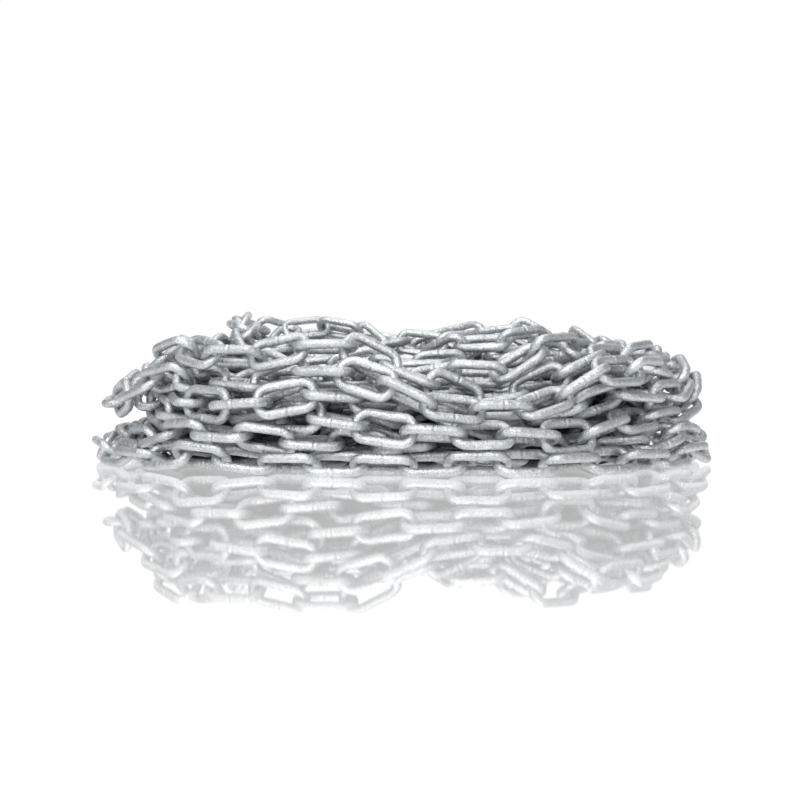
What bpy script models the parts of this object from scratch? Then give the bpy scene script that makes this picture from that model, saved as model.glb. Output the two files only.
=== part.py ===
"""Heap of galvanised steel chain, laid down turn on turn in a loose oval.

The links lie along one hand-chosen route. They are then eased apart until no two of them overlap,
and each run of linked links becomes one solid. A plain core stands for the chain that is out of sight.
"""

import math

import bmesh
import bpy
import numpy as np

# The chain, in metres
WIRE = 0.004
PITCH = 0.019
LINK_WIDTH = 0.016

# The heap, in metres
HEAP_LENGTH = 0.300
HEAP_DEPTH = 0.200
CORE_HEIGHT = 0.034
CLEARANCE = 0.0004


def in_wires(length):
    """A length in wires. The layout is worked out in wires, so that it is the same at any size."""
    return round(length / WIRE, 6)


# How the chain is shared out, in wires. Crowns inside a run sink into each other, and all else keeps clear.
RUNS = 47
SEAT = 0.82                            # between the centrelines of two joined crowns
SPACING = 1 + in_wires(CLEARANCE)      # between the centrelines of any other two links
CROWN = 0.5 * (in_wires(PITCH) + 1)    # from a link's middle to its crown's centreline
SIDE = 0.5 * (in_wires(LINK_WIDTH) - 1)
JOINT = CROWN - 0.5 * SEAT             # from a link's middle to a joint inside a run
FREE_JOINT = CROWN - 0.565 * SPACING   # and to a joint between runs
RIDGE = 0.45                           # from the centreline to a wire's inner and outer edges

# The route: how far in from the outermost strand, in wires, every 30 degrees from the +X tip towards +Y,
# one row a turn. Each turn then lies on what was laid before it.
TURNS = (
    (1.0, .6, .4, .8, 1.2, .6, .6, .4, .8, .4, .3, .5),
    (.2, 2.6, .6, 3.0, .3, 2.4, 5.0, 3.0, .4, 3.2, 3.4, .4),
    (3.7, .3, 3.2, .4, 2.8, .4, 7.2, 3.4, 3.6, .5, .3, 3.0),
    (.8, 3.4, .6, 2.6, .6, 3.6, 9.0, 6, .6, 3.8, 2.6, 1.0),
    (3.8, 2.2, 3.0, 3.8, 3.4, 3.0, 2.2, 2.4, 3.4, 1.0, .8, 3.6),
    (7.4, 7.0, 5.0, 5.6, 1.0, 6.0, 11.3, 4.5, 2.0, 4.6, 3.5, 5.0),
    (6.0, 9.4, 8.5, 9.0, 1.6, 10, 13, 10, 8, 8, 6, 8.3),
    (11, 6.0, 5.7, 5.6, .2, 12, 16, 15, 14, 13, 12, 12),
)
WOBBLE = 0.6            # how far a strand strays from its route, in wires
LAID_THICKNESS = 3.2    # of the chain while it is laid, before it settles
STEEPEST = 0.5          # rise over run of the chain while it is laid

OUTERMOST = 0.45        # from the heap's outline to the outermost strand's middle, in widths of a link

# The core, in wires
CORE_INSET = 4.6        # from the outermost strand's middle to the core's foot
CORE_SLOPE = 0.3        # how much it narrows for each wire of height
CORE_GAP = 0.3          # how far the solid stays inside, as the links' straight sides cut across its curve

# The chain heaped on the core, inside the ring of links, in wires
HEAP_MIDDLE = (0.0, 5.0)
HEAP_STEPS = (1.0, 2.0, 3.0, 4.0)    # heights above the core's top
HEAP_BROW = 1.0                      # how far its top edge stands back
HEAP_DISH = 1.6                      # how far its middle is sunk
HEAP_STRAY = 0.4                     # how far its outline may stand out between two of its neighbours

# What two linked links can do
TWIST = 0.55    # cosine of the least angle between their planes inside a run
BEND = 0.8      # cosine of the most that one leans from the next inside a run


def link_ring():
    """Centreline corners of a link in its own plane, as rows of x and y."""
    flat, shoulder = 0.48 * SIDE, CROWN - 0.9 * SIDE
    x = (CROWN, shoulder, -shoulder, -CROWN, -CROWN, -shoulder, shoulder, CROWN)
    y = (flat, SIDE, SIDE, flat, -flat, -SIDE, -SIDE, -flat)
    return np.array((x, y))


RING = link_ring()
SPIN = 0.6 * (RING**2).sum(0).mean()    # a link's resistance to turning, as a length squared


def smooth(stations, steps):
    """Points along a Catmull-Rom curve through the stations, the same number of steps between each two."""
    last = len(stations) - 1
    t = np.arange(last * steps + 1) / steps
    before = np.minimum(t.astype(int), last - 1)
    u = (t - before)[:, None]
    p0, p1, p2, p3 = (stations[np.clip(before + k, 0, last)] for k in (-1, 0, 1, 2))
    return 0.5 * (2 * p1 + (p2 - p0) * u + (2 * p0 - 5 * p1 + 4 * p2 - p3) * u**2
                  + (3 * p1 - p0 - 3 * p2 + p3) * u**3)


def plan():
    """The route seen from above."""
    insets = smooth(np.array([(inset,) for turn in TURNS for inset in turn]), 2)[:, 0]
    insets = insets + np.random.default_rng(7).uniform(-WOBBLE, WOBBLE, len(insets))
    half_x = in_wires(HEAP_LENGTH) / 2 - OUTERMOST * in_wires(LINK_WIDTH)
    half_y = in_wires(HEAP_DEPTH) / 2 - OUTERMOST * in_wires(LINK_WIDTH)
    angles = np.radians(15 * np.arange(len(insets)))
    x, y = (half_x - insets) * np.cos(angles), (half_y - insets) * np.sin(angles)
    return smooth(np.round(np.stack((x, y), 1), 6), 5)


def lay(plan, stretch=24):
    """Gives the route its heights, a stretch at a time: each lies on all that was laid before."""
    height = np.zeros(len(plan))
    step = np.sqrt(((plan[1:] - plan[:-1])**2).sum(1))
    for start in range(0, len(plan), stretch):
        new = np.arange(start, min(start + stretch, len(plan)))
        need = np.full(len(new), 0.5 * LAID_THICKNESS)
        old = plan[:max(0, start - 8)]
        if len(old):
            apart = ((plan[new][:, None] - old[None])**2).sum(2)
            on_top = height[:len(old)] + np.sqrt(np.maximum(LAID_THICKNESS**2 - apart, 0))
            need = np.maximum(need, np.where(apart < LAID_THICKNESS**2, on_top, 0).max(1))
        on_core = in_wires(CORE_HEIGHT) + 0.5 * LAID_THICKNESS
        need = np.maximum(need, np.where(over_core(plan[new].T), on_core, 0))
        height[new] = need
        for i in range(max(1, start), new[-1] + 1):
            height[i] = max(height[i], height[i - 1] - STEEPEST * step[i - 1])
        for i in range(new[-1] - 1, -1, -1):
            height[i] = max(height[i], height[i + 1] - STEEPEST * step[i])
    return np.column_stack((plan, height))


def over_core(at):
    """True where a point of the plan lies over the core's top."""
    half_x, half_y = core_sides(in_wires(CORE_HEIGHT))
    return (at[0] / half_x)**2 + (at[1] / half_y)**2 < 1


def place_links(route):
    """Middles and lengthwise directions of the links along the route."""
    joints = [route[0]]
    span = 2 * JOINT
    for start, end in zip(route, route[1:]):
        for part in range(1, 9):
            point = start + (end - start) * (part / 8)
            apart = point - joints[-1]
            away = math.sqrt(apart[0]**2 + apart[1]**2 + apart[2]**2)
            if away >= span:
                joints.append(joints[-1] + apart * (span / away))
    joints = np.array(joints)
    return ((joints[:-1] + joints[1:]) / 2).T.copy(), unit((joints[1:] - joints[:-1]).T)


def cross(a, b):
    return np.array((a[1] * b[2] - a[2] * b[1], a[2] * b[0] - a[0] * b[2], a[0] * b[1] - a[1] * b[0]))


def dot(a, b):
    return a[0] * b[0] + a[1] * b[1] + a[2] * b[2]


def unit(a):
    return a / np.sqrt(np.maximum(dot(a, a), 1e-18))


class Chain:
    """The links' middles and two of their axes, each as rows of x, y and z, eased into place."""

    def __init__(self, middle, along):
        self.middle, self.along = middle, along
        self.count = middle.shape[1]
        chance = np.random.default_rng(4)
        roll = np.radians(32) * (1 - 2 * (np.arange(self.count) % 2))
        roll += chance.uniform(-0.25, 0.25, self.count)
        roll += smooth(chance.uniform(-0.7, 0.7, (self.count // 5 + 2, 1)), 5)[:self.count, 0]
        level = unit(cross(np.array((0.0, 0.0, 1.0)), along))
        self.across = np.round(np.cos(roll) * level + np.sin(roll) * cross(along, level), 7)
        self.square_up()
        self.run = np.arange(self.count) * RUNS // self.count
        self.free = self.run[1:] != self.run[:-1]
        self.reach = np.where(self.free, FREE_JOINT, JOINT)
        self.bend = np.where(self.free, 0.4 * BEND + 0.6, BEND)
        self.twist = np.where(self.free, 0.8 * TWIST, TWIST)

    def square_up(self):
        """Keeps the two axes at right angles and of length 1."""
        self.along = unit(self.along)
        self.across = unit(self.across - self.along * dot(self.along, self.across))

    def corners(self):
        """Every link's ring of corners, (3, corners, links)."""
        x, y = RING[0][None, :, None], RING[1][None, :, None]
        return self.middle[:, None] + self.along[:, None] * x + self.across[:, None] * y

    def find_neighbours(self):
        """Lists the pairs of ring sides, of two links, that could come to touch soon."""
        margin = 0.6
        reach = 2 * CROWN + 1 + margin
        order = np.argsort(self.middle[0], kind="stable")
        x = self.middle[0][order]
        pairs = []
        for k, link in enumerate(order):
            others = order[k + 1:np.searchsorted(x, x[k] + reach)]
            apart = self.middle[:, others] - self.middle[:, link:link + 1]
            near = others[dot(apart, apart) < reach**2]
            pairs.append(np.array((np.full(len(near), link), near)))
        a, b = np.concatenate(pairs, axis=1)
        start = self.corners()
        end = np.roll(start, -1, axis=1)
        centre, half = (start + end) / 2, np.sqrt(dot(end - start, end - start)) / 2
        apart = centre[:, :, None, a] - centre[:, None, :, b]
        limit = half[:, None, a] + half[None, :, b] + 1 + margin
        self.side_a, self.side_b, pair = np.nonzero(dot(apart, apart) < limit**2)
        self.link_a, self.link_b = a[pair], b[pair]
        joint = np.minimum(self.link_a, self.link_b)
        joined = (np.abs(self.link_a - self.link_b) == 1) & ~self.free[np.minimum(joint, self.count - 2)]
        self.spacing = np.where(joined, 0.9 * SEAT, SPACING)

    def closest_points(self, corners):
        """The closest points of each listed pair of sides."""
        sides = len(RING[0])
        start_a, start_b = corners[:, self.side_a, self.link_a], corners[:, self.side_b, self.link_b]
        run_a = corners[:, (self.side_a + 1) % sides, self.link_a] - start_a
        run_b = corners[:, (self.side_b + 1) % sides, self.link_b] - start_b
        apart = start_a - start_b
        aa, bb, ab = dot(run_a, run_a), dot(run_b, run_b), dot(run_a, run_b)
        a0, b0 = dot(run_a, apart), dot(run_b, apart)
        s = np.clip((ab * b0 - a0 * bb) / np.maximum(aa * bb - ab * ab, 1e-6 * aa * bb), 0, 1)
        t = np.clip((ab * s + b0) / bb, 0, 1)
        s = np.clip((ab * t - a0) / aa, 0, 1)
        return start_a + s * run_a, start_b + t * run_b

    def add_pushes(self, links, at, direction, depth):
        """Notes pushes on links: which, at what point, which way and how far."""
        turn = cross(at - self.middle[:, links], direction)
        self.pushes.append((links, direction * depth, turn * depth / SPIN))

    def move(self, ease):
        """Moves each link by the mean of its pushes, or by a little more."""
        links, shift, turn = (np.concatenate(part, axis=-1) for part in zip(*self.pushes))
        share = ease / np.maximum(1, 0.5 * np.bincount(links, minlength=self.count))
        shift = np.array([share * np.bincount(links, row, self.count) for row in shift])
        turn = np.array([share * np.bincount(links, row, self.count) for row in turn])
        self.middle = self.middle + shift
        self.along = self.along + cross(turn, self.along)
        self.across = self.across + cross(turn, self.across)
        self.square_up()
        self.pushes = []

    def part_links(self, ease=1.0):
        """Pushes overlapping links apart, and off the floor and the core."""
        self.pushes = []
        corners = self.corners()
        at_a, at_b = self.closest_points(corners)
        apart = at_a - at_b
        distance = np.sqrt(dot(apart, apart))
        hit = np.nonzero(distance < self.spacing)[0]
        a, b, at_a, at_b = self.link_a[hit], self.link_b[hit], at_a[:, hit], at_b[:, hit]
        way = apart[:, hit] / np.maximum(distance[hit], 1e-6)
        arm_a, arm_b = cross(at_a - self.middle[:, a], way), cross(at_b - self.middle[:, b], way)
        give = 2 + (dot(arm_a, arm_a) + dot(arm_b, arm_b)) / SPIN
        depth = (self.spacing - distance)[hit] / give
        self.add_pushes(a, at_a, way, depth)
        self.add_pushes(b, at_b, -way, depth)
        for depth, way in (floor_depth(corners), core_depth(corners)):
            corner, link = np.nonzero(depth > 0)
            at, way = corners[:, corner, link], way[:, corner, link]
            arm = cross(at - self.middle[:, link], way)
            self.add_pushes(link, at, way, depth[corner, link] / (1 + dot(arm, arm) / SPIN))
        self.move(ease)

    def join_links(self):
        """Brings the joints of linked links together: every other joint, then the rest."""
        for first in (0, 1):
            a = np.arange(first, self.count - 1, 2)
            b = a + 1
            arm_a, arm_b = self.along[:, a] * self.reach[a], -self.along[:, b] * self.reach[a]
            gap = self.middle[:, b] + arm_b - self.middle[:, a] - arm_a
            length = np.sqrt(dot(gap, gap))
            way = gap / np.maximum(length, 1e-9)
            turn_a, turn_b = cross(arm_a, way), cross(arm_b, way)
            pull = length / (2 + (dot(turn_a, turn_a) + dot(turn_b, turn_b)) / SPIN)
            self.middle[:, a] += way * pull
            self.middle[:, b] -= way * pull
            for links, turn in ((a, turn_a * pull / SPIN), (b, -turn_b * pull / SPIN)):
                self.along[:, links] += cross(turn, self.along[:, links])
                self.across[:, links] += cross(turn, self.across[:, links])
            self.square_up()

    def limit_joints(self):
        """Turns linked links back where they bend or twist further than their crowns allow."""
        for first in (0, 1):
            a = np.arange(first, self.count - 1, 2)
            b = a + 1
            axis_a, axis_b = self.along[:, a], self.along[:, b]
            face_a, face_b = cross(axis_a, self.across[:, a]), cross(axis_b, self.across[:, b])
            bend = 0.5 * np.maximum(0, self.bend[a] - dot(axis_a, axis_b)) * unit(cross(axis_a, axis_b))
            twist = dot(self.across[:, a], self.across[:, b])
            turn = 0.5 * np.sign(twist) * np.maximum(0, np.abs(twist) - self.twist[a])
            turn *= np.sign(dot(face_a, self.across[:, b]))
            for links, spin in ((a, bend - turn * axis_a), (b, turn * axis_b - bend)):
                self.along[:, links] += cross(spin, self.along[:, links])
                self.across[:, links] += cross(spin, self.across[:, links])
        self.square_up()

    def ease_apart(self, passes, sink):
        """Repeats the passes above, with the heap sinking by a share of its height each time."""
        for k in range(passes):
            if k % 8 == 0:
                self.find_neighbours()
            self.middle[2] *= 1 - sink
            self.part_links()
            self.limit_joints()
            self.join_links()


def floor_depth(at):
    """How far each point of a wire is too low, and the way up."""
    up = np.zeros_like(at)
    up[2] = 1
    return 0.5 - at[2], up


def core_sides(height):
    """Half length and half depth of the core at a height, in wires."""
    inset = OUTERMOST * in_wires(LINK_WIDTH) + CORE_INSET + CORE_SLOPE * height
    return in_wires(HEAP_LENGTH) / 2 - inset, in_wires(HEAP_DEPTH) / 2 - inset


def core_depth(at):
    """How far each point of a wire is too near the core, and the way out."""
    half_x, half_y = core_sides(at[2])
    around = np.sqrt(np.maximum((at[0] / half_x)**2 + (at[1] / half_y)**2, 1e-6))
    way = unit(np.array((at[0] / half_x**2, at[1] / half_y**2, CORE_SLOPE * around / half_y)))
    from_side = (1 - around) * around / np.sqrt((at[0] / half_x**2)**2 + (at[1] / half_y**2)**2 + 1e-9)
    from_top = in_wires(CORE_HEIGHT) - at[2]
    top_nearer = from_top < from_side
    way[:, top_nearer] = np.array((0.0, 0.0, 1.0))[:, None]
    return np.minimum(from_side, from_top) + SPACING - 0.5, way


def settled_chain():
    chain = Chain(*place_links(lay(plan())))
    for passes, sink in ((40, 0), (220, 0.0012), (600, 0)):
        chain.ease_apart(passes, sink)
    corners = chain.corners()[:2]
    chain.middle[:2] -= ((corners.max(axis=(1, 2)) + corners.min(axis=(1, 2))) / 2)[:, None]
    return chain


def make_material(name, colour, metallic, roughness):
    material = bpy.data.materials.new(name)
    material.use_nodes = True
    surface = material.node_tree.nodes["Principled BSDF"]
    surface.inputs["Base Color"].default_value = (*colour, 1)
    surface.inputs["Metallic"].default_value = metallic
    surface.inputs["Roughness"].default_value = roughness
    return material


def make_mesh(name, bm):
    """Turns what was built into a mesh, facing out."""
    bmesh.ops.recalc_face_normals(bm, faces=bm.faces)
    mesh = bpy.data.meshes.new(name)
    bm.to_mesh(mesh)
    bm.free()
    return mesh


def add_object(name, mesh, material):
    mesh.materials.clear()
    mesh.materials.append(material)
    thing = bpy.data.objects.new(name, mesh)
    bpy.context.scene.collection.objects.link(thing)
    return thing


def corner_mitre(before, corner, after):
    """The way out of a corner, long enough to keep the wire's edges along its sides."""
    one, two = (corner - before) / math.dist(corner, before), (after - corner) / math.dist(after, corner)
    out = np.array((one[1] + two[1], -one[0] - two[0]))
    return out / (1 + one[0] * two[0] + one[1] * two[1])


def add_link(bm, middle, along, across):
    """One link as a ring of four-sided wire, whose edges point inwards, outwards and to each face."""
    face = np.cross(along, across)
    sections = []
    for k in range(8):
        x, y = RING[0][k], RING[1][k]
        centre = middle + along * x + across * y
        mitre = corner_mitre(RING[:, k - 1], RING[:, k], RING[:, (k + 1) % 8])
        outward = RIDGE * (mitre[0] * along + mitre[1] * across)
        edges = [(centre + way) * WIRE for way in (outward, 0.5 * face, -outward, -0.5 * face)]
        sections.append([bm.verts.new(edge) for edge in edges])
    for k in range(8):
        one, two = sections[k - 1], sections[k]
        for j in range(4):
            bm.faces.new((one[j], one[(j + 1) % 4], two[(j + 1) % 4], two[j]))


def links_mesh(name, chain, links):
    bm = bmesh.new()
    for i in links:
        add_link(bm, chain.middle[:, i], chain.along[:, i], chain.across[:, i])
    return make_mesh(name, bm)


def add_run(number, chain, material):
    """A few linked links as one solid: every other one, joined to the rest where their crowns sink in."""
    links = np.nonzero(chain.run == number)[0]
    run = add_object(f"chain_run_{number + 1:02d}", links_mesh("some", chain, links[::2]), material)
    rest = add_object("rest", links_mesh("rest", chain, links[1::2]), material)
    union = run.modifiers.new("union", "BOOLEAN")
    union.operation = "UNION"
    union.solver = "EXACT"
    union.object = rest
    run.data = bpy.data.meshes.new_from_object(run.evaluated_get(bpy.context.evaluated_depsgraph_get()))
    run.data.name = run.name
    run.modifiers.clear()
    bpy.data.objects.remove(rest)


def core_outline(height):
    """The core's outline at a height, as rows of x, y and z."""
    half_x, half_y = (half - CORE_GAP for half in core_sides(height))
    angles = np.radians(np.arange(0, 360, 7.5))
    return np.array((half_x * np.cos(angles), half_y * np.sin(angles), np.full(len(angles), height)))


def wire_points(chain):
    """Points all along the centrelines of the links, as rows of x, y and z."""
    start = chain.corners()
    end = np.roll(start, -1, axis=1)
    return np.concatenate([start + (end - start) * (part / 8) for part in range(8)], axis=1).reshape(3, -1)


def room_inside(wires, rays, height):
    """How far the heap may reach along each ray, up to a height, before it comes near a link."""
    low = wires[:, wires[2] < height + SPACING - 0.5]
    at = low[:2] - np.array(HEAP_MIDDLE)[:, None]
    beside = np.roll(rays, -1, axis=1)
    widest = np.abs(rays[0] * beside[1] - rays[1] * beside[0]).max()
    reach = []
    for ray in rays.T:
        ahead, aside = ray @ at, np.abs(ray[0] * at[1] - ray[1] * at[0])
        reach.append(ahead[(ahead > 0) & (aside < widest * ahead + SPACING)].min(initial=in_wires(HEAP_DEPTH)))
    reach = np.array(reach) - SPACING
    for _ in range(8):
        reach = np.minimum(reach, (np.roll(reach, 1) + np.roll(reach, -1)) / 2 + HEAP_STRAY)
    return reach


def heap_outlines(chain, rim):
    """Outlines of the heaped chain, from the core's top upwards, each with room for all up to the next."""
    middle = np.array(HEAP_MIDDLE)[:, None]
    rays = rim[:2] - middle
    rays = rays / np.sqrt((rays**2).sum(0))
    wires = wire_points(chain)
    top = rim[2, 0]
    outlines = []
    for low, high in zip((0, *HEAP_STEPS), HEAP_STEPS):
        reach = room_inside(wires, rays, top + high)
        outlines.append(np.vstack((middle + reach * rays, np.full(len(reach), top + low))))
    brow = reach - HEAP_BROW
    return [*outlines, np.vstack((middle + brow * rays, np.full(len(brow), top + HEAP_STEPS[-1])))]


def add_core(chain, material):
    """Plain stand-in for the chain inside the heap: an oval mound, and what is heaped on it, dished."""
    bm = bmesh.new()
    rim = core_outline(in_wires(CORE_HEIGHT) - CORE_GAP)
    outlines = [core_outline(0), rim, *heap_outlines(chain, rim)]
    rings = [[bm.verts.new(point * WIRE) for point in outline.T] for outline in outlines]
    for low, high in zip(rings, rings[1:]):
        for k in range(len(low)):
            bm.faces.new((low[k - 1], low[k], high[k], high[k - 1]))
    bm.faces.new(rings[0])
    top = rings[-1]
    dish = bm.verts.new((HEAP_MIDDLE[0] * WIRE, HEAP_MIDDLE[1] * WIRE, (outlines[-1][2, 0] - HEAP_DISH) * WIRE))
    for k in range(len(top)):
        bm.faces.new((top[k - 1], top[k], dish))
    add_object("core", make_mesh("core", bm), material)


def main():
    for thing in list(bpy.data.objects):
        bpy.data.objects.remove(thing)
    zinc = make_material("galvanised_steel", (0.62, 0.64, 0.65), 0.9, 0.4)
    dark = make_material("hidden_steel", (0.25, 0.27, 0.28), 0.9, 0.6)
    chain = settled_chain()
    for number in range(RUNS):
        add_run(number, chain, zinc)
    add_core(chain, dark)


main()
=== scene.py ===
"""Looks of the heap of galvanised chain.

The outer links are laid out as in the part's source, so each lies where its solid is. More chain is then
eased in among them, which fills the middle of the heap. All links are drawn with round, welded, zinc-coated
wire. The layout is in wires, and the pieces are in metres.
"""

import math

import bpy
import numpy as np
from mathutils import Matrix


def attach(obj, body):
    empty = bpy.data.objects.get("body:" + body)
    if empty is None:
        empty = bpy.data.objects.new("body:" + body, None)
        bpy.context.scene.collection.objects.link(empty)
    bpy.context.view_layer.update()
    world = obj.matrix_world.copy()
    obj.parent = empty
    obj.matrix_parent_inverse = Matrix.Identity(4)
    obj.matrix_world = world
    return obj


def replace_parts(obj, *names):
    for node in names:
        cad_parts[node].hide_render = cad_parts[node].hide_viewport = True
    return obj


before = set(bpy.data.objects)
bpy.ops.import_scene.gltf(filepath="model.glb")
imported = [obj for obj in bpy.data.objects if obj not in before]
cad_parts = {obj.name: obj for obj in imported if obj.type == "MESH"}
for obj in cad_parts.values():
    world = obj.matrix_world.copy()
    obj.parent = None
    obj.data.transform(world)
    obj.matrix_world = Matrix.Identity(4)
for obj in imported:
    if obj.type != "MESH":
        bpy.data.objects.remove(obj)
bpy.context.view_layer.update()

# The chain, in metres, as in the part's source
WIRE = 0.004
PITCH = 0.019
LINK_WIDTH = 0.016

# The heap, in metres, as in the part's source
HEAP_LENGTH = 0.300
HEAP_DEPTH = 0.200
CORE_HEIGHT = 0.034
CLEARANCE = 0.0004


def in_wires(length):
    """A length in wires. The layout is worked out in wires, so that it is the same at any size."""
    return round(length / WIRE, 6)


# How the chain is shared out, in wires, as in the part's source
RUNS = 47
SEAT = 0.82                            # between the centrelines of two joined crowns
CLOSEST_SEAT = 0.9 * SEAT              # and the least between them while they are eased
SPACING = 1 + in_wires(CLEARANCE)      # between the centrelines of any other two links
CROWN = 0.5 * (in_wires(PITCH) + 1)    # from a link's middle to its crown's centreline
SIDE = 0.5 * (in_wires(LINK_WIDTH) - 1)
JOINT = CROWN - 0.5 * SEAT             # from a link's middle to a joint inside a run
FREE_JOINT = CROWN - 0.565 * SPACING   # and to a joint between runs

# The outer chain's route, as in the part's source: how far in from the outermost strand, in wires, every
# 30 degrees from the +X tip towards +Y, one row a turn. Each turn then lies on what was laid before it.
TURNS = (
    (1.0, .6, .4, .8, 1.2, .6, .6, .4, .8, .4, .3, .5),
    (.2, 2.6, .6, 3.0, .3, 2.4, 5.0, 3.0, .4, 3.2, 3.4, .4),
    (3.7, .3, 3.2, .4, 2.8, .4, 7.2, 3.4, 3.6, .5, .3, 3.0),
    (.8, 3.4, .6, 2.6, .6, 3.6, 9.0, 6, .6, 3.8, 2.6, 1.0),
    (3.8, 2.2, 3.0, 3.8, 3.4, 3.0, 2.2, 2.4, 3.4, 1.0, .8, 3.6),
    (7.4, 7.0, 5.0, 5.6, 1.0, 6.0, 11.3, 4.5, 2.0, 4.6, 3.5, 5.0),
    (6.0, 9.4, 8.5, 9.0, 1.6, 10, 13, 10, 8, 8, 6, 8.3),
    (11, 6.0, 5.7, 5.6, .2, 12, 16, 15, 14, 13, 12, 12),
)
WOBBLE = 0.6            # how far a strand strays from its route, in wires
LAID_THICKNESS = 3.2    # of the chain while it is laid, before it settles
LAID_AT_ONCE = 24       # points of the route in a stretch
JUST_LAID = 8           # points before a stretch that it doesn't lie on
STEEPEST = 0.5          # rise over run of the chain while it is laid
OUTERMOST = 0.45        # from the heap's outline to the outermost strand's middle, in widths of a link
PLAN_STEP = 15          # degrees between two points of a plan
INSET_STEPS = 2         # steps of a plan between two insets
ROUTE_STEPS = 5         # steps of a route between two points of its plan
LINK_TRIES = 8          # places for a joint in one step of a route

# How a link leans before the chain is eased: to one side, and the next link to the other
LEAN = 32               # degrees from level
OWN_STRAY = 0.25        # radians more or less for each link by itself
SLOW_STRAY = 0.7        # radians more or less for the links of a stretch together
SLOW_LINKS = 5          # links between two draws of that

# What two linked links can do, inside a run and between runs
TWIST = 0.55                     # cosine of the least angle between their planes
FREE_TWIST = 0.8 * TWIST
BEND = 0.8                       # cosine of the most that one leans from the next
FREE_BEND = 0.4 * BEND + 0.6

# The easing: how many passes, and the share of its height by which the heap sinks in each
OUTER_EASING = ((40, 0), (220, 0.0012), (600, 0))
INNER_EASING = ((160, 0.0012), (300, 0))
LISTED_FOR = 8          # passes for which a list of neighbours serves
LIST_MARGIN = 0.6       # how much further apart than touching they may be, in wires

# The core, in wires: how far in its foot starts, how high it goes, and how much its top rises for each wire
# towards the back. The outer links keep off the one in the part's source, and the inner ones off another.
OUTER_CORE = (4.6, in_wires(CORE_HEIGHT), 0)
INNER_CORE = (9.2, 6.8, 0.14)
CORE_SLOPE = 0.3        # how much it narrows for each wire of height
ROOF = 17.5             # the height above which the inner links' centrelines are pushed down

# The inner chain's turns, in wires: how far in each one is laid, at the back and at the front, and how
# high, at the back and at the front
INNER_TURNS = (
    (7.0, 7.0, 2.4, 2.4),
    (5.6, 5.8, 4.8, 4.6),
    (7.4, 7.4, 7.0, 6.9),
    (11.5, 13, 8.8, 6.6),
    (15.3, 17, 8.4, 6.8),
    (19, 21.2, 8.2, 7.4),
    (5.5, 10, 9.0, 8.0),
    (9, 16, 10.6, 9.0),
    (14, 22, 10.4, 9.8),
    (6, 19, 12.0, 10.2),
)
INNER_WOBBLE = 1.4
BLENDED = 9             # points of the plan over which one turn passes into the next

# Where the last of it is laid, over the rest: x, y and height, in wires
LAST_LENGTH = (
    (25, 3, 12.2),
    (23, 9, 13.2),
    (19, 13.5, 14.6),
    (14.5, 16, 16.2),
    (10.5, 16.5, 16.6),
    (7.5, 15, 14.6),
    (4, 13.5, 12.4),
    (0, 14, 11.6),
    (-5, 15.5, 12.2),
    (-10, 17, 14.4),
    (-14, 17.5, 16.8),
    (-17.5, 16.5, 16.8),
    (-19.5, 14, 15.0),
    (-16.5, 12.5, 13.8),
    (-11, 13, 12.8),
    (-5, 11, 12.0),
    (1, 9.5, 11.6),
    (7, 9, 11.8),
    (13, 10, 12.6),
    (18, 8, 12.6),
    (20, 2, 12.0),
    (15, -2, 11.4),
    (7, -1, 11.2),
    (-1, 2, 11.2),
    (-9, 4, 11.4),
    (-15, 6, 11.8),
)
LAST_WOBBLE = 0.5

# Seeds of the random draws
PLAN_SEED = 7
ROLL_SEED = 4
INNER_PLAN_SEED = 11
INNER_ROLL_SEED = 5
OUTER_SHAPES_SEED = 20
INNER_SHAPES_SEED = 30

# How the links are shared out over pieces
RUNS_PER_PIECE = 8
INNER_PIECES = 4

# How a link is drawn, in wires
CROWN_STEPS = 12        # of the path round a crown
OUTER_SIDES = 16        # of the wire of the outer links
INNER_SIDES = 10        # and of the inner ones
FULLNESS = 0.9          # of a crown: 1 is an ellipse, and less is squarer
WELD_STATIONS = (0.8, 0.42, 0.3, 0.2, 0.1, 0.0, -0.1, -0.2, -0.3, -0.42, -0.8)
WELD_THICKNESS = (1.0, 1.02, 1.06, 1.07, 1.0, 0.88, 1.0, 1.07, 1.06, 1.02, 1.0)
WARP = 0.05             # how far its corners lift, and how far its ends widen
LUMP = 0.03             # how much thicker and thinner the wire gets
LUMP_WAVES = 6
LUMP_PACE = (3.0, 7.0)  # radians of a wave for each wire of length
LOWEST = 0.00002        # metres from the floor to the lowest points

# Colours
PALE_ZINC = (0.84, 0.865, 0.875, 1)
GREY_ZINC = (0.60, 0.625, 0.635, 1)
MOTTLED_ZINC = (0.46, 0.48, 0.48, 1)
DULL_SPECK = (0.27, 0.29, 0.30, 1)
BRIGHT_SPECK = (0.96, 0.97, 0.97, 1)
# Painted shade: the zinc darkened deep in the heap
PAINTED_SHADE_ZINC = (0.07, 0.074, 0.077, 1)
# Painted shade: the heart's two dark tones, seen as the depth of the gaps
HEART_SHADE_DARK = (0.02, 0.022, 0.023, 1)
HEART_SHADE_GREY = (0.07, 0.075, 0.078, 1)
BOARD = (0.15, 0.15, 0.155, 1)
ROOM_GREY = (0.41, 0.42, 0.43, 1)
WHITE = (1, 1, 1, 1)

# The softboxes, which all face one point: place, size and power, in metres and watts
LIT_POINT = (0, 0, 0.03)
SOFTBOXES = {
    "overhead": ((-0.1, 0.05, 0.9), (1.1, 0.5), 3.6),
    "front": ((-0.2, -0.85, 0.55), (1.2, 0.4), 6.4),
}

FLOOR_HALF = 6          # metres

# The camera, which stands where the photograph was taken from
CAMERA_AT = (0, -0.528, 0.041)
CAMERA_TILT = 1.3
FOCAL_LENGTH = 49.3
SENSOR_WIDTH = 36


def link_ring():
    """Centreline corners of a link in its own plane, as rows of x and y."""
    flat, shoulder = 0.48 * SIDE, CROWN - 0.9 * SIDE
    x = (CROWN, shoulder, -shoulder, -CROWN, -CROWN, -shoulder, shoulder, CROWN)
    y = (flat, SIDE, SIDE, flat, -flat, -SIDE, -SIDE, -flat)
    return np.array((x, y))


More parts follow.
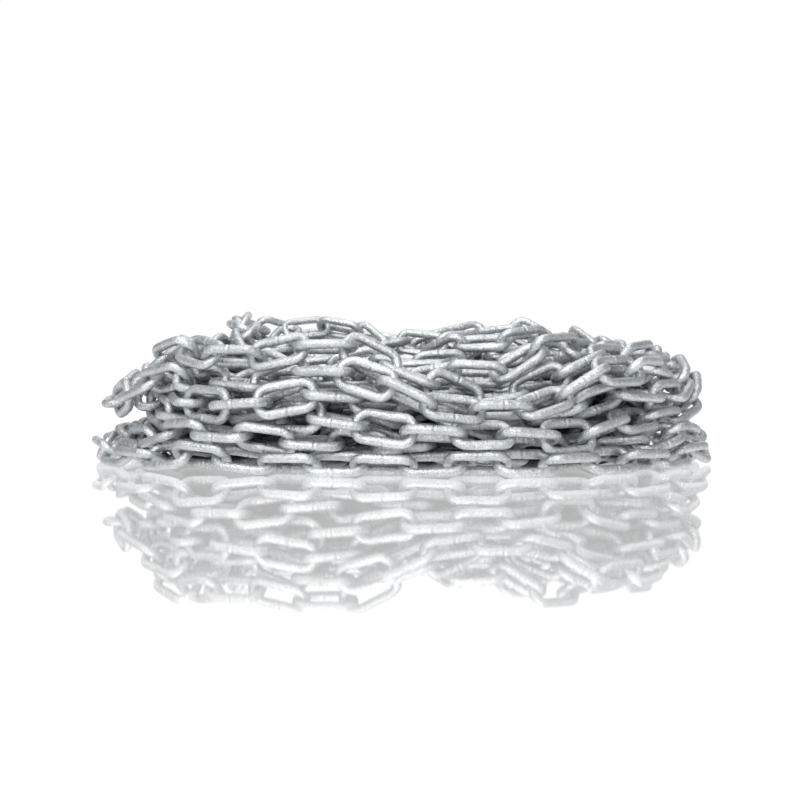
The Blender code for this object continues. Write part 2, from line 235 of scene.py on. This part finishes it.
RING = link_ring()
SPIN = 0.6 * (RING**2).sum(0).mean()    # a link's resistance to turning, as a length squared


def smooth(stations, steps):
    """Points along a Catmull-Rom curve through the stations, the same number of steps between each two."""
    last = len(stations) - 1
    t = np.arange(last * steps + 1) / steps
    before = np.minimum(t.astype(int), last - 1)
    u = (t - before)[:, None]
    p0, p1, p2, p3 = (stations[np.clip(before + k, 0, last)] for k in (-1, 0, 1, 2))
    return 0.5 * (2 * p1 + (p2 - p0) * u + (2 * p0 - 5 * p1 + 4 * p2 - p3) * u**2
                  + (3 * p1 - p0 - 3 * p2 + p3) * u**3)


def plan_points(insets):
    """Points of a plan at these insets, one every PLAN_STEP degrees."""
    half_x = in_wires(HEAP_LENGTH) / 2 - OUTERMOST * in_wires(LINK_WIDTH)
    half_y = in_wires(HEAP_DEPTH) / 2 - OUTERMOST * in_wires(LINK_WIDTH)
    angles = np.radians(PLAN_STEP * np.arange(len(insets)))
    x, y = (half_x - insets) * np.cos(angles), (half_y - insets) * np.sin(angles)
    return np.round(np.stack((x, y), 1), 6)


def outer_plan():
    """The outer chain's route seen from above."""
    insets = smooth(np.array([(inset,) for turn in TURNS for inset in turn]), INSET_STEPS)[:, 0]
    insets = insets + np.random.default_rng(PLAN_SEED).uniform(-WOBBLE, WOBBLE, len(insets))
    return smooth(plan_points(insets), ROUTE_STEPS)


def lay(plan):
    """Gives the route its heights, a stretch at a time: each lies on all that was laid before."""
    height = np.zeros(len(plan))
    step = np.sqrt(((plan[1:] - plan[:-1])**2).sum(1))
    for start in range(0, len(plan), LAID_AT_ONCE):
        new = np.arange(start, min(start + LAID_AT_ONCE, len(plan)))
        need = np.full(len(new), 0.5 * LAID_THICKNESS)
        old = plan[:max(0, start - JUST_LAID)]
        if len(old):
            apart = ((plan[new][:, None] - old[None])**2).sum(2)
            on_top = height[:len(old)] + np.sqrt(np.maximum(LAID_THICKNESS**2 - apart, 0))
            need = np.maximum(need, np.where(apart < LAID_THICKNESS**2, on_top, 0).max(1))
        on_core = OUTER_CORE[1] + 0.5 * LAID_THICKNESS
        need = np.maximum(need, np.where(over_core(plan[new].T), on_core, 0))
        height[new] = need
        for i in range(max(1, start), new[-1] + 1):
            height[i] = max(height[i], height[i - 1] - STEEPEST * step[i - 1])
        for i in range(new[-1] - 1, -1, -1):
            height[i] = max(height[i], height[i + 1] - STEEPEST * step[i])
    return np.column_stack((plan, height))


def over_core(at):
    """True where a point of the plan lies over the core's top."""
    half_x, half_y = core_sides(OUTER_CORE[1], OUTER_CORE[0])
    return (at[0] / half_x)**2 + (at[1] / half_y)**2 < 1


def inner_route():
    """The inner chain's route: each turn at its own insets and heights, and then the last length."""
    turns = np.repeat(np.array(INNER_TURNS), 360 // PLAN_STEP, axis=0)
    blend = np.ones(BLENDED) / BLENDED
    back, front, back_height, front_height = (
        np.convolve(np.pad(row, BLENDED // 2, mode="edge"), blend, mode="valid") for row in turns.T)
    share = np.round(0.5 + 0.5 * np.sin(np.radians(PLAN_STEP * np.arange(len(back)))), 6)
    chance = np.random.default_rng(INNER_PLAN_SEED)
    stray = chance.uniform(-INNER_WOBBLE, INNER_WOBBLE, (len(back) // INSET_STEPS + 2, 1))
    insets = front + (back - front) * share + smooth(stray, INSET_STEPS)[:len(back), 0]
    heights = front_height + (back_height - front_height) * share
    stray = chance.uniform(-LAST_WOBBLE, LAST_WOBBLE, (len(LAST_LENGTH), 3))
    last = np.array(LAST_LENGTH) + np.round(stray, 6)
    route = np.concatenate((np.column_stack((plan_points(insets), heights)), last))
    return smooth(route, ROUTE_STEPS)


def place_links(route):
    """Middles and lengthwise directions of the links along the route."""
    joints = [route[0]]
    span = 2 * JOINT
    for start, end in zip(route, route[1:]):
        for part in range(1, LINK_TRIES + 1):
            point = start + (end - start) * (part / LINK_TRIES)
            apart = point - joints[-1]
            away = math.sqrt(apart[0]**2 + apart[1]**2 + apart[2]**2)
            if away >= span:
                joints.append(joints[-1] + apart * (span / away))
    joints = np.array(joints)
    return ((joints[:-1] + joints[1:]) / 2).T.copy(), unit((joints[1:] - joints[:-1]).T)


def cross(a, b):
    return np.array((a[1] * b[2] - a[2] * b[1], a[2] * b[0] - a[0] * b[2], a[0] * b[1] - a[1] * b[0]))


def dot(a, b):
    return a[0] * b[0] + a[1] * b[1] + a[2] * b[2]


def unit(a):
    return a / np.sqrt(np.maximum(dot(a, a), 1e-18))


class Chain:
    """The links' middles and two of their axes, each as rows of x, y and z, eased into place."""

    def __init__(self, middle, along, runs, seed):
        self.middle, self.along = middle, along
        self.count = middle.shape[1]
        self.held = 0
        self.core = OUTER_CORE
        chance = np.random.default_rng(seed)
        roll = np.radians(LEAN) * (1 - 2 * (np.arange(self.count) % 2))
        roll += chance.uniform(-OWN_STRAY, OWN_STRAY, self.count)
        slow = chance.uniform(-SLOW_STRAY, SLOW_STRAY, (self.count // SLOW_LINKS + 2, 1))
        roll += smooth(slow, SLOW_LINKS)[:self.count, 0]
        level = unit(cross(np.array((0.0, 0.0, 1.0)), along))
        self.across = np.round(np.cos(roll) * level + np.sin(roll) * cross(along, level), 7)
        self.square_up()
        self.run = np.arange(self.count) * runs // self.count
        self.free = self.run[1:] != self.run[:-1]
        self.set_joints()

    def set_joints(self):
        """Works out how far from a link's middle each joint is, and how far it bends and twists."""
        self.reach = np.where(self.free, FREE_JOINT, JOINT)
        self.bend = np.where(self.free, FREE_BEND, BEND)
        self.twist = np.where(self.free, FREE_TWIST, TWIST)

    def add(self, other, core):
        """Holds these links where they are, and takes in another chain to be eased in among them."""
        self.held = self.count
        self.core = core
        self.middle = np.concatenate((self.middle, other.middle), 1)
        self.along = np.concatenate((self.along, other.along), 1)
        self.across = np.concatenate((self.across, other.across), 1)
        self.free = np.concatenate((self.free, (True,), other.free))
        self.count += other.count
        self.set_joints()

    def square_up(self):
        """Keeps the two axes at right angles and of length 1."""
        self.along = unit(self.along)
        self.across = unit(self.across - self.along * dot(self.along, self.across))

    def corners(self):
        """Every link's ring of corners, (3, corners, links)."""
        x, y = RING[0][None, :, None], RING[1][None, :, None]
        return self.middle[:, None] + self.along[:, None] * x + self.across[:, None] * y

    def find_neighbours(self):
        """Lists the pairs of ring sides, of two links, that could come to touch soon."""
        reach = 2 * CROWN + 1 + LIST_MARGIN
        order = np.argsort(self.middle[0], kind="stable")
        x = self.middle[0][order]
        pairs = []
        for k, link in enumerate(order):
            others = order[k + 1:np.searchsorted(x, x[k] + reach)]
            if link < self.held:
                others = others[others >= self.held]
            apart = self.middle[:, others] - self.middle[:, link:link + 1]
            near = others[dot(apart, apart) < reach**2]
            pairs.append(np.array((np.full(len(near), link), near)))
        a, b = np.concatenate(pairs, axis=1)
        start = self.corners()
        end = np.roll(start, -1, axis=1)
        centre, half = (start + end) / 2, np.sqrt(dot(end - start, end - start)) / 2
        apart = centre[:, :, None, a] - centre[:, None, :, b]
        limit = half[:, None, a] + half[None, :, b] + 1 + LIST_MARGIN
        self.side_a, self.side_b, pair = np.nonzero(dot(apart, apart) < limit**2)
        self.link_a, self.link_b = a[pair], b[pair]
        joint = np.minimum(self.link_a, self.link_b)
        joined = (np.abs(self.link_a - self.link_b) == 1) & ~self.free[np.minimum(joint, self.count - 2)]
        self.spacing = np.where(joined, CLOSEST_SEAT, SPACING)

    def closest_points(self, corners):
        """The closest points of each listed pair of sides."""
        sides = len(RING[0])
        start_a, start_b = corners[:, self.side_a, self.link_a], corners[:, self.side_b, self.link_b]
        run_a = corners[:, (self.side_a + 1) % sides, self.link_a] - start_a
        run_b = corners[:, (self.side_b + 1) % sides, self.link_b] - start_b
        apart = start_a - start_b
        aa, bb, ab = dot(run_a, run_a), dot(run_b, run_b), dot(run_a, run_b)
        a0, b0 = dot(run_a, apart), dot(run_b, apart)
        s = np.clip((ab * b0 - a0 * bb) / np.maximum(aa * bb - ab * ab, 1e-6 * aa * bb), 0, 1)
        t = np.clip((ab * s + b0) / bb, 0, 1)
        s = np.clip((ab * t - a0) / aa, 0, 1)
        return start_a + s * run_a, start_b + t * run_b

    def add_pushes(self, links, at, direction, depth):
        """Notes pushes on links: which, at what point, which way and how far."""
        turn = cross(at - self.middle[:, links], direction)
        self.pushes.append((links, direction * depth, turn * depth / SPIN))

    def move(self):
        """Moves each link by its only push or by twice the mean of its pushes, but no held link."""
        links, shift, turn = (np.concatenate(part, axis=-1) for part in zip(*self.pushes))
        share = 1 / np.maximum(1, 0.5 * np.bincount(links, minlength=self.count))
        share[:self.held] = 0
        shift = np.array([share * np.bincount(links, row, self.count) for row in shift])
        turn = np.array([share * np.bincount(links, row, self.count) for row in turn])
        self.middle = self.middle + shift
        self.along = self.along + cross(turn, self.along)
        self.across = self.across + cross(turn, self.across)
        self.square_up()
        self.pushes = []

    def part_links(self):
        """Pushes overlapping links apart, and off the floor, the core and the roof."""
        self.pushes = []
        corners = self.corners()
        at_a, at_b = self.closest_points(corners)
        apart = at_a - at_b
        distance = np.sqrt(dot(apart, apart))
        hit = np.nonzero(distance < self.spacing)[0]
        a, b, at_a, at_b = self.link_a[hit], self.link_b[hit], at_a[:, hit], at_b[:, hit]
        way = apart[:, hit] / np.maximum(distance[hit], 1e-6)
        arm_a, arm_b = cross(at_a - self.middle[:, a], way), cross(at_b - self.middle[:, b], way)
        give = 2 + (dot(arm_a, arm_a) + dot(arm_b, arm_b)) / SPIN
        depth = (self.spacing - distance)[hit] / give
        self.add_pushes(a, at_a, way, depth)
        self.add_pushes(b, at_b, -way, depth)
        limits = [floor_depth(corners), core_depth(corners, *self.core)]
        if self.held:
            limits.append(roof_depth(corners))
        for depth, way in limits:
            corner, link = np.nonzero(depth > 0)
            at, way = corners[:, corner, link], way[:, corner, link]
            arm = cross(at - self.middle[:, link], way)
            self.add_pushes(link, at, way, depth[corner, link] / (1 + dot(arm, arm) / SPIN))
        self.move()

    def join_links(self):
        """Brings the joints of linked links together: every other joint, then the rest."""
        for first in (0, 1):
            a = np.arange(self.held + first, self.count - 1, 2)
            b = a + 1
            arm_a, arm_b = self.along[:, a] * self.reach[a], -self.along[:, b] * self.reach[a]
            gap = self.middle[:, b] + arm_b - self.middle[:, a] - arm_a
            length = np.sqrt(dot(gap, gap))
            way = gap / np.maximum(length, 1e-9)
            turn_a, turn_b = cross(arm_a, way), cross(arm_b, way)
            pull = length / (2 + (dot(turn_a, turn_a) + dot(turn_b, turn_b)) / SPIN)
            self.middle[:, a] += way * pull
            self.middle[:, b] -= way * pull
            for links, turn in ((a, turn_a * pull / SPIN), (b, -turn_b * pull / SPIN)):
                self.along[:, links] += cross(turn, self.along[:, links])
                self.across[:, links] += cross(turn, self.across[:, links])
            self.square_up()

    def limit_joints(self):
        """Turns linked links back where they bend or twist further than their crowns allow."""
        for first in (0, 1):
            a = np.arange(self.held + first, self.count - 1, 2)
            b = a + 1
            axis_a, axis_b = self.along[:, a], self.along[:, b]
            face_a = cross(axis_a, self.across[:, a])
            bend = 0.5 * np.maximum(0, self.bend[a] - dot(axis_a, axis_b)) * unit(cross(axis_a, axis_b))
            twist = dot(self.across[:, a], self.across[:, b])
            turn = 0.5 * np.sign(twist) * np.maximum(0, np.abs(twist) - self.twist[a])
            turn *= np.sign(dot(face_a, self.across[:, b]))
            for links, spin in ((a, bend - turn * axis_a), (b, turn * axis_b - bend)):
                self.along[:, links] += cross(spin, self.along[:, links])
                self.across[:, links] += cross(spin, self.across[:, links])
        self.square_up()

    def ease_apart(self, passes, sink):
        """Repeats the passes above, with all but the held links sinking by a share of their height."""
        for k in range(passes):
            if k % LISTED_FOR == 0:
                self.find_neighbours()
            self.middle[2, self.held:] *= 1 - sink
            self.part_links()
            self.limit_joints()
            self.join_links()


def floor_depth(at):
    """How far each point of a wire is too low, and the way up."""
    up = np.zeros_like(at)
    up[2] = 1
    return 0.5 - at[2], up


def roof_depth(at):
    """How far each point of a wire is too high, and the way down."""
    down = np.zeros_like(at)
    down[2] = -1
    return at[2] - ROOF, down


def core_sides(height, inset):
    """Half length and half depth of the core at a height, in wires."""
    inset = OUTERMOST * in_wires(LINK_WIDTH) + inset + CORE_SLOPE * height
    return in_wires(HEAP_LENGTH) / 2 - inset, in_wires(HEAP_DEPTH) / 2 - inset


def core_depth(at, inset, top, rise):
    """How far each point of a wire is too near the core, and the way out."""
    half_x, half_y = core_sides(at[2], inset)
    around = np.sqrt(np.maximum((at[0] / half_x)**2 + (at[1] / half_y)**2, 1e-6))
    way = unit(np.array((at[0] / half_x**2, at[1] / half_y**2, CORE_SLOPE * around / half_y)))
    from_side = (1 - around) * around / np.sqrt((at[0] / half_x**2)**2 + (at[1] / half_y**2)**2 + 1e-9)
    from_top = top + rise * at[1] - at[2]
    top_nearer = from_top < from_side
    way[:, top_nearer] = np.array((0.0, 0.0, 1.0))[:, None]
    return np.minimum(from_side, from_top) + SPACING - 0.5, way


def settled_chain():
    """The outer links in their places, and the inner ones among them."""
    chain = Chain(*place_links(lay(outer_plan())), RUNS, ROLL_SEED)
    for passes, sink in OUTER_EASING:
        chain.ease_apart(passes, sink)
    corners = chain.corners()[:2]
    chain.middle[:2] -= ((corners.max(axis=(1, 2)) + corners.min(axis=(1, 2))) / 2)[:, None]
    chain.add(Chain(*place_links(inner_route()), 1, INNER_ROLL_SEED), INNER_CORE)
    for passes, sink in INNER_EASING:
        chain.ease_apart(passes, sink)
    return chain


def shelter(points):
    """How deep in the heap each point is, in wires: under its top, and behind its outside."""
    cell, half_cells = 2.5, 20
    column = tuple(np.floor(points[:, axis] / cell).astype(int) + half_cells for axis in (0, 1))
    top = np.zeros((2 * half_cells, 2 * half_cells))
    np.maximum.at(top, column, points[:, 2])
    shifts = ((0, 0), (1, 0), (-1, 0), (0, 1), (0, -1))
    top = sum(np.roll(top, shift, (0, 1)) for shift in shifts) / len(shifts)

    sectors, slab, slabs = 48, 2.0, 24
    heading = np.arctan2(points[:, 1], points[:, 0]) / math.radians(360 / sectors)
    sector = (np.floor(heading).astype(int) + sectors // 2) % sectors
    level = np.floor(points[:, 2] / slab).astype(int)
    out = np.sqrt(points[:, 0]**2 + points[:, 1]**2)
    side = np.zeros((sectors, slabs))
    np.maximum.at(side, (sector, level), out)
    side = (np.roll(side, 1, 0) + side + np.roll(side, -1, 0)) / 3
    return np.minimum(top[column] - points[:, 2], side[sector, level] - out)


def link_path():
    """A link's centreline, its outward directions and its wire's thickness at each station, in wires.

    The crowns are drawn out a little, so that linked crowns touch without sinking into each other.
    The weld is a low collar with a nick round it, in the middle of one long side.
    """
    crown = CROWN + 0.5 * (1 - SEAT)
    bow = 0.62 * crown - 0.25
    angles = np.linspace(-90, 90, CROWN_STEPS + 1)
    bend = np.sign(np.sin(np.radians(angles))) * np.abs(np.sin(np.radians(angles)))**FULLNESS
    drop = np.abs(np.cos(np.radians(angles)))**FULLNESS
    right = np.column_stack((bow + (crown - bow) * drop, SIDE * bend))
    weld = len(WELD_STATIONS)
    top = np.column_stack((WELD_STATIONS, np.full(weld, SIDE)))
    bottom = np.column_stack(((WELD_STATIONS[-1], 0.0, WELD_STATIONS[0]), np.full(3, -SIDE)))
    path = np.concatenate((right, top, -right, bottom))
    heading = np.roll(path, -1, 0) - np.roll(path, 1, 0)
    heading /= np.sqrt((heading**2).sum(1))[:, None]
    thickness = np.ones(len(path))
    thickness[len(right):len(right) + weld] = WELD_THICKNESS
    return path, np.column_stack((heading[:, 1], -heading[:, 0])), thickness


def link_points(path, outward, thickness, sides, chance):
    """One link's surface points about its middle, (stations, sides, 3), with its small differences."""
    turn = np.radians(360 * np.arange(sides) / sides)
    way = np.zeros((len(path), sides, 3))
    way[:, :, :2] = outward[:, None] * np.cos(turn)[None, :, None]
    way[:, :, 2] = np.sin(turn)
    centre = np.zeros((len(path), 1, 3))
    centre[:, 0, :2] = path
    centre[:, 0, 2] = chance.uniform(-WARP, WARP) * path[:, 0] * path[:, 1] / (CROWN * SIDE)
    centre[:, 0, 1] += chance.uniform(-WARP, WARP) * (path[:, 0] / CROWN)**2 * np.sign(path[:, 1])
    radius = 0.5 * thickness[:, None] * np.ones(sides)
    points = centre + way * radius[:, :, None]
    waves = chance.normal(0, 1, (LUMP_WAVES, 3))
    waves *= (chance.uniform(*LUMP_PACE, LUMP_WAVES) / np.sqrt((waves**2).sum(1)))[:, None]
    lumps = np.sin(points @ waves.T + chance.uniform(0, 6.3, LUMP_WAVES)).sum(2) / LUMP_WAVES
    points = centre + way * (radius * (1.0 + LUMP * lumps))[:, :, None]
    if chance.uniform() < 0.5:
        points[:, :, 1:] *= -1
    return points


def tube_faces(stations, sides):
    """Quads round a closed tube, as rows of four points."""
    station, side = np.divmod(np.arange(stations * sides), sides)
    after, beside = (station + 1) % stations, (side + 1) % sides
    return np.column_stack((station * sides + side, after * sides + side,
                            after * sides + beside, station * sides + beside))


def add_links(name, chain, links, sides, material, seed):
    """One piece of many links, each with its own small differences."""
    path, outward, thickness = link_path()
    chance = np.random.default_rng(seed)
    face = cross(chain.along, chain.across)
    points = []
    for i in links:
        axes = np.array((chain.along[:, i], chain.across[:, i], face[:, i]))
        own = link_points(path, outward, thickness, sides, chance)
        points.append((own.reshape(-1, 3) @ axes + chain.middle[:, i]) * WIRE)
    one = tube_faces(len(path), sides)
    faces = np.concatenate([one + k * len(path) * sides for k in range(len(points))])
    points = np.concatenate(points)
    points[:, 2] = np.maximum(points[:, 2], LOWEST)
    return add_piece(name, points.tolist(), faces.tolist(), material)


def add_shelter(pieces):
    """Gives each piece's points their depth in the heap, which its material reads to paint shade, darker the
    deeper they lie.
    """
    points = []
    for piece in pieces:
        own = np.empty(3 * len(piece.data.vertices), dtype=np.float32)
        piece.data.vertices.foreach_get("co", own)
        points.append(own.reshape(-1, 3) / WIRE)
    depth = shelter(np.concatenate(points)).astype(np.float32)
    start = 0
    for piece in pieces:
        end = start + len(piece.data.vertices)
        piece.data.attributes.new("depth", "FLOAT", "POINT").data.foreach_set("value", depth[start:end])
        start = end


def add_piece(name, points, faces, material):
    """A smooth-shaded piece of the object, riding on its one body."""
    mesh = bpy.data.meshes.new(name)
    mesh.from_pydata(points, [], faces)
    mesh.shade_smooth()
    mesh.materials.append(material)
    piece = bpy.data.objects.new(name, mesh)
    bpy.context.scene.collection.objects.link(piece)
    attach(piece, "root")
    return piece


def add_heart(material):
    """The middle of the heap, an uneven mound under the inner links, dark as painted shade."""
    steps, levels = 96, 12
    brow = 5               # the level where its side ends and its top begins
    unevenness, lowered, foot = 0.03, 0.94, 0.05
    inset, top, rise = INNER_CORE
    points = []
    for level in range(levels):
        share = min(1, level / brow)
        shrink = 1 if level <= brow else 1 - (level - brow) / (levels - brow)
        half_x, half_y = core_sides(top * share, inset)
        for k in range(steps):
            a = 2 * math.pi * k / steps
            rough = 1 - unevenness * (1 + math.sin(9 * a + level) * math.cos(5 * a - 2 * level))
            x, y = half_x * shrink * rough * math.cos(a), half_y * shrink * rough * math.sin(a)
            points.append((x * WIRE, y * WIRE, ((top + rise * y) * share * lowered + foot) * WIRE))
    faces = [(level * steps + k, level * steps + (k + 1) % steps,
              (level + 1) * steps + (k + 1) % steps, (level + 1) * steps + k)
             for level in range(levels - 1) for k in range(steps)]
    faces += [tuple(reversed(range(steps))), tuple(range((levels - 1) * steps, levels * steps))]
    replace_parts(add_piece("heart", points, faces, material), "core")


class Nodes:
    """A material's or world's nodes, made and linked with less to type."""

    def __init__(self, tree):
        self.tree = tree

    def new(self, kind, values=(), **inputs):
        node = self.tree.nodes.new(kind)
        for name, value in dict(values).items():
            setattr(node, name, value)
        for name, value in inputs.items():
            self.set(node.inputs[name.replace("_", " ")], value)
        return node

    def set(self, socket, value):
        if isinstance(value, bpy.types.NodeSocket):
            self.tree.links.new(value, socket)
        else:
            socket.default_value = value

    def noise(self, where, scale, detail, roughness=0.55):
        node = self.new("ShaderNodeTexNoise", Vector=where, Scale=scale, Detail=detail, Roughness=roughness)
        return node.outputs["Fac"]

    def spread(self, value, low, high, to_low, to_high):
        """A value's range from low to high, spread over another range."""
        node = self.new("ShaderNodeMapRange")
        self.set(node.inputs["Value"], value)
        limits = {"From Min": low, "From Max": high, "To Min": to_low, "To Max": to_high}
        for name, number in limits.items():
            node.inputs[name].default_value = number
        return node.outputs["Result"]

    def mix(self, share, one, two):
        node = self.new("ShaderNodeMix", {"data_type": "RGBA"})
        self.set(node.inputs["Factor"], share)
        self.set(node.inputs["A"], one)
        self.set(node.inputs["B"], two)
        return node.outputs["Result"]

    def bump(self, height, strength, distance, normal=None):
        node = self.new("ShaderNodeBump", Strength=strength, Distance=distance, Height=height)
        if normal is not None:
            self.set(node.inputs["Normal"], normal)
        return node.outputs["Normal"]


def new_material(name):
    material = bpy.data.materials.new(name)
    material.use_nodes = True
    nodes = Nodes(material.node_tree)
    return material, nodes, material.node_tree.nodes["Principled BSDF"]


def zinc_material():
    """Hot-dip galvanised steel: pale, satin, mottled and finely lumpy, with painted shade darkening it deep
    in the heap.

    Its patches are about 14 mm across, its mottle 2 mm and its specks under 1 mm.
    """
    material, nodes, surface = new_material("zinc")
    where = nodes.new("ShaderNodeTexCoord").outputs["Object"]
    patches = nodes.spread(nodes.noise(where, 70, 2), 0.35, 0.65, 0, 1)
    mottle = nodes.spread(nodes.noise(where, 480, 5, 0.7), 0.34, 0.66, 0, 1)
    speck = nodes.noise(where, 1250, 4, 0.75)
    bright = nodes.spread(speck, 0.55, 0.66, 0, 1)
    dull = nodes.spread(speck, 0.47, 0.36, 0, 1)
    colour = nodes.mix(patches, GREY_ZINC, PALE_ZINC)
    colour = nodes.mix(nodes.spread(mottle, 0, 1, 0.5, 0), colour, MOTTLED_ZINC)
    colour = nodes.mix(nodes.spread(dull, 0, 1, 0, 0.6), colour, DULL_SPECK)
    colour = nodes.mix(nodes.spread(bright, 0, 1, 0, 0.6), colour, BRIGHT_SPECK)
    # Painted shade: the zinc is darkened the deeper a point lies in the heap, under its top and behind its
    # outside
    depth = nodes.new("ShaderNodeAttribute", {"attribute_name": "depth"}).outputs["Fac"]
    colour = nodes.mix(nodes.spread(depth, 2.0, 7.0, 0, 0.8), colour, PAINTED_SHADE_ZINC)
    nodes.set(surface.inputs["Base Color"], colour)
    nodes.set(surface.inputs["Roughness"], nodes.spread(mottle, 0, 1, 0.4, 0.22))
    surface.inputs["Metallic"].default_value = 0.88
    normal = nodes.bump(mottle, 0.5, 0.0004)
    normal = nodes.bump(speck, 0.5, 0.0002, normal)
    nodes.set(surface.inputs["Normal"], normal)
    return material


def heart_material():
    """A dull dark surface, painted shade that is seen only as the depth of the gaps."""
    material, nodes, surface = new_material("heart_painted_shade")
    where = nodes.new("ShaderNodeTexCoord").outputs["Object"]
    grain = nodes.noise(where, 260, 4)
    # Painted shade: two dark tones, mixed by grain, for the depth of the gaps
    nodes.set(surface.inputs["Base Color"], nodes.mix(grain, HEART_SHADE_DARK, HEART_SHADE_GREY))
    nodes.set(surface.inputs["Roughness"], nodes.spread(grain, 0.3, 0.7, 0.55, 0.8))
    surface.inputs["Metallic"].default_value = 0.5
    nodes.set(surface.inputs["Normal"], nodes.bump(grain, 0.6, 0.002))
    return material


def floor_material():
    """Glossy white board, which mirrors what stands on it and is plain white a metre off."""
    material, nodes, surface = new_material("floor")
    tree = material.node_tree
    tree.nodes.remove(surface)
    diffuse = nodes.new("ShaderNodeBsdfDiffuse", Color=BOARD)
    glow = nodes.new("ShaderNodeEmission", Color=WHITE, Strength=0.95)
    both = nodes.new("ShaderNodeAddShader")
    nodes.set(both.inputs[0], diffuse.outputs[0])
    nodes.set(both.inputs[1], glow.outputs[0])
    mirror = nodes.new("ShaderNodeBsdfGlossy", Color=WHITE, Roughness=0.03)
    mixed = nodes.new("ShaderNodeMixShader")
    grazing = nodes.new("ShaderNodeLayerWeight").outputs["Facing"]
    where = nodes.new("ShaderNodeTexCoord").outputs["Object"]
    distance = nodes.new("ShaderNodeVectorMath", {"operation": "LENGTH"}, Vector=where).outputs["Value"]
    share = nodes.new("ShaderNodeMath", {"operation": "MULTIPLY"})
    nodes.set(share.inputs[0], nodes.spread(grazing, 0.45, 0.83, 0.06, 0.6))
    nodes.set(share.inputs[1], nodes.spread(distance, 0.4, 1.2, 1, 0))
    nodes.set(mixed.inputs[0], share.outputs["Value"])
    nodes.set(mixed.inputs[1], both.outputs[0])
    nodes.set(mixed.inputs[2], mirror.outputs[0])
    nodes.set(tree.nodes["Material Output"].inputs["Surface"], mixed.outputs[0])
    return material


def add_floor():
    mesh = bpy.data.meshes.new("floor")
    corners = [(x * FLOOR_HALF, y * FLOOR_HALF, 0) for x, y in ((-1, -1), (1, -1), (1, 1), (-1, 1))]
    mesh.from_pydata(corners, [], [(0, 1, 2, 3)])
    mesh.materials.append(floor_material())
    floor = bpy.data.objects.new("floor", mesh)
    bpy.context.scene.collection.objects.link(floor)


def add_world():
    """A studio that is seen as plain white, and lights the heap white from behind and grey from elsewhere."""
    world = bpy.data.worlds.new("studio")
    bpy.context.scene.world = world
    world.use_nodes = True
    nodes = Nodes(world.node_tree)
    direction = nodes.new("ShaderNodeTexCoord").outputs["Generated"]
    parts = nodes.new("ShaderNodeSeparateXYZ", Vector=direction)
    back = nodes.spread(parts.outputs["Y"], 0.78, 0.87, 0, 1)
    light = nodes.mix(back, ROOM_GREY, WHITE)
    seen = nodes.new("ShaderNodeLightPath").outputs["Is Camera Ray"]
    ground = world.node_tree.nodes["Background"]
    nodes.set(ground.inputs["Color"], nodes.mix(seen, light, WHITE))
    ground.inputs["Strength"].default_value = 1.0


def add_softbox(name, at, size, power):
    light = bpy.data.lights.new(name, "AREA")
    light.shape = "RECTANGLE"
    light.size, light.size_y = size
    light.energy = power
    lamp = bpy.data.objects.new(name, light)
    away = np.array(at) - np.array(LIT_POINT)
    length = math.sqrt((away**2).sum())
    lamp.location = at
    lamp.rotation_euler = (math.acos(away[2] / length), 0, math.atan2(away[0], -away[1]))
    bpy.context.scene.collection.objects.link(lamp)


def add_camera():
    camera = bpy.data.cameras.new("camera")
    camera.lens = FOCAL_LENGTH
    camera.sensor_width = SENSOR_WIDTH
    camera.clip_start, camera.clip_end = 0.01, 50
    eye = bpy.data.objects.new("camera", camera)
    eye.location = CAMERA_AT
    eye.rotation_euler = (math.radians(90 - CAMERA_TILT), 0, 0)
    bpy.context.scene.collection.objects.link(eye)
    bpy.context.scene.camera = eye


def main():
    zinc = zinc_material()
    chain = settled_chain()
    outer, pieces = chain.held, []
    for k in range(math.ceil(RUNS / RUNS_PER_PIECE)):
        runs = range(RUNS_PER_PIECE * k, min(RUNS_PER_PIECE * (k + 1), RUNS))
        links = [i for i in range(outer) if chain.run[i] in runs]
        seed = OUTER_SHAPES_SEED + k
        pieces.append(add_links(f"outer_links_{k + 1}", chain, links, OUTER_SIDES, zinc, seed))
        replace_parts(pieces[-1], *(f"chain_run_{run + 1:02d}" for run in runs))
    share = math.ceil((chain.count - outer) / INNER_PIECES)
    for k in range(INNER_PIECES):
        links = range(outer + k * share, min(outer + (k + 1) * share, chain.count))
        seed = INNER_SHAPES_SEED + k
        pieces.append(add_links(f"inner_links_{k + 1}", chain, links, INNER_SIDES, zinc, seed))
    add_shelter(pieces)
    add_heart(heart_material())
    add_floor()
    add_world()
    for name, (at, size, power) in SOFTBOXES.items():
        add_softbox(name, at, size, power)
    add_camera()
    bpy.context.scene.view_settings.view_transform = "Standard"


main()
